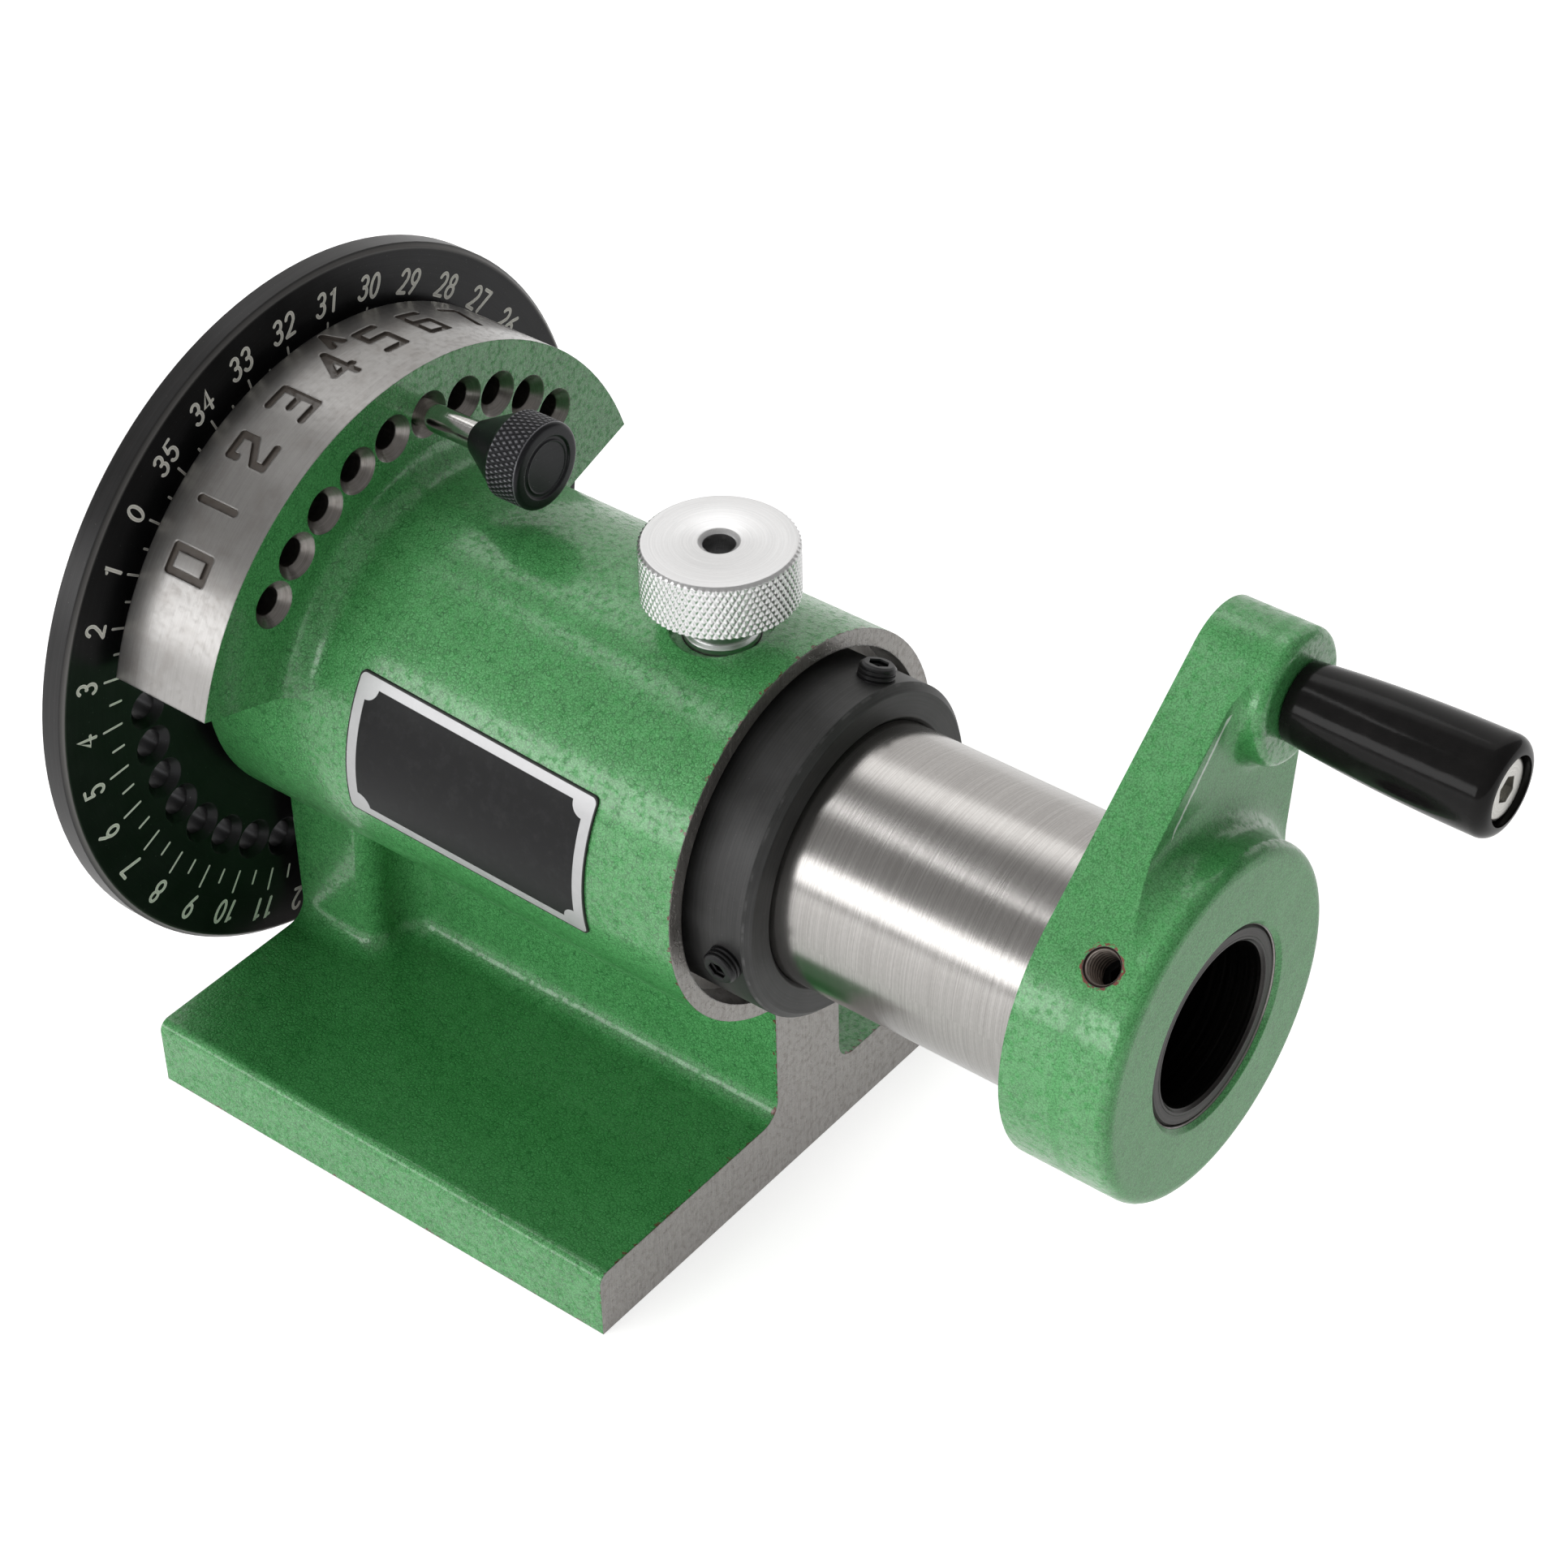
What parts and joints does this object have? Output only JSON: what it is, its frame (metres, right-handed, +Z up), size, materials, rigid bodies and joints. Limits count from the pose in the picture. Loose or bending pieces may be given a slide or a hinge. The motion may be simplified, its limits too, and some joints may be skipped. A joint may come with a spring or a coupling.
{
  "type": "spin index jig",
  "caption": "Bench indexing jig: cast base with a hollow collet spindle, a drilled and numbered index plate, a loose index pin, a knurled spindle lock and a crank on the draw tube.",
  "frame": {"origin": "centre of the base's underside, under the spindle's axis", "axes": "+X along the spindle from the nose to the crank, +Z up from the base, +Y to the side that the crank leans to at rest"},
  "size_m": [0.2219, 0.1264, 0.1334],
  "materials": {
    "body_enamel": "green hammered enamel on cast iron, machined faces bare",
    "crank_enamel": "green hammered enamel on cast iron",
    "plate_panel": "black panel with a bare metal border",
    "ground_steel": "cylindrically ground",
    "screw_steel": "plain steel screw",
    "screw_black": "black oxide",
    "index_black": "satin black with filled figures",
    "collar_black": "black oxide",
    "tube_black": "black oxide",
    "grip_black": "glossy moulded plastic",
    "zinc_steel": "bright zinc",
    "pin_steel": "polished steel",
    "knob_black": "black oxide, knurled",
    "lock_aluminium": "turned and knurled",
    "plug_brass": "plain"
  },
  "bodies": {
    "casting": {"body_casting": "body_enamel", "name_plate": "plate_panel"},
    "spindle": {"spindle": "ground_steel", "collet_key": "screw_steel", "index_plate": "index_black", "plate_screw_1": "screw_steel", "plate_screw_2": "screw_steel", "plate_screw_3": "screw_steel", "plate_screw_4": "screw_steel", "thrust_collar": "collar_black", "collar_screw_1": "screw_black", "collar_screw_2": "screw_black", "collar_screw_3": "screw_black"},
    "crank": {"draw_tube": "tube_black", "crank_arm": "crank_enamel", "crank_set_screw": "screw_steel", "handle_axle": "zinc_steel"},
    "grip": {"handle_grip": "grip_black"},
    "pin": {"index_pin": "pin_steel", "pin_knob": "knob_black"},
    "plug": {"lock_plug": "plug_brass"},
    "knob": {"lock_knob": "lock_aluminium", "lock_screw": "screw_steel"}
  },
  "joints": [
    {"name": "spindle_turn", "type": "hinge", "parent": "casting", "child": "spindle", "pos_m": [0, 0, 0.07023], "axis": [1, 0, 0], "continuous": true},
    {"name": "draw_turn", "type": "hinge", "parent": "spindle", "child": "crank", "pos_m": [0.108, 0, 0.07023], "axis": [1, 0, 0], "continuous": true},
    {"name": "grip_spin", "type": "hinge", "parent": "crank", "child": "grip", "pos_m": [0.1225, 0.02443, 0.11431], "axis": [1, 0, 0], "continuous": true},
    {"name": "pin_slide", "type": "slide", "parent": "casting", "child": "pin", "axis": [-1, 0, 0], "range_m": [-0.0225, 0.0054]},
    {"name": "lock_travel", "type": "slide", "parent": "casting", "child": "plug", "axis": [0, 0, 1], "range_m": [-0.0001, 0.0015]},
    {"name": "lock_turn", "type": "hinge", "parent": "plug", "child": "knob", "pos_m": [0.0338, 0, 0.1189], "axis": [0, 0, 1], "range_deg": [-22.81, 360.01]}
  ],
  "couplings": [
    {"joint": "lock_turn", "follows": "lock_travel", "rad_per_m": 4188.8}
  ]
}
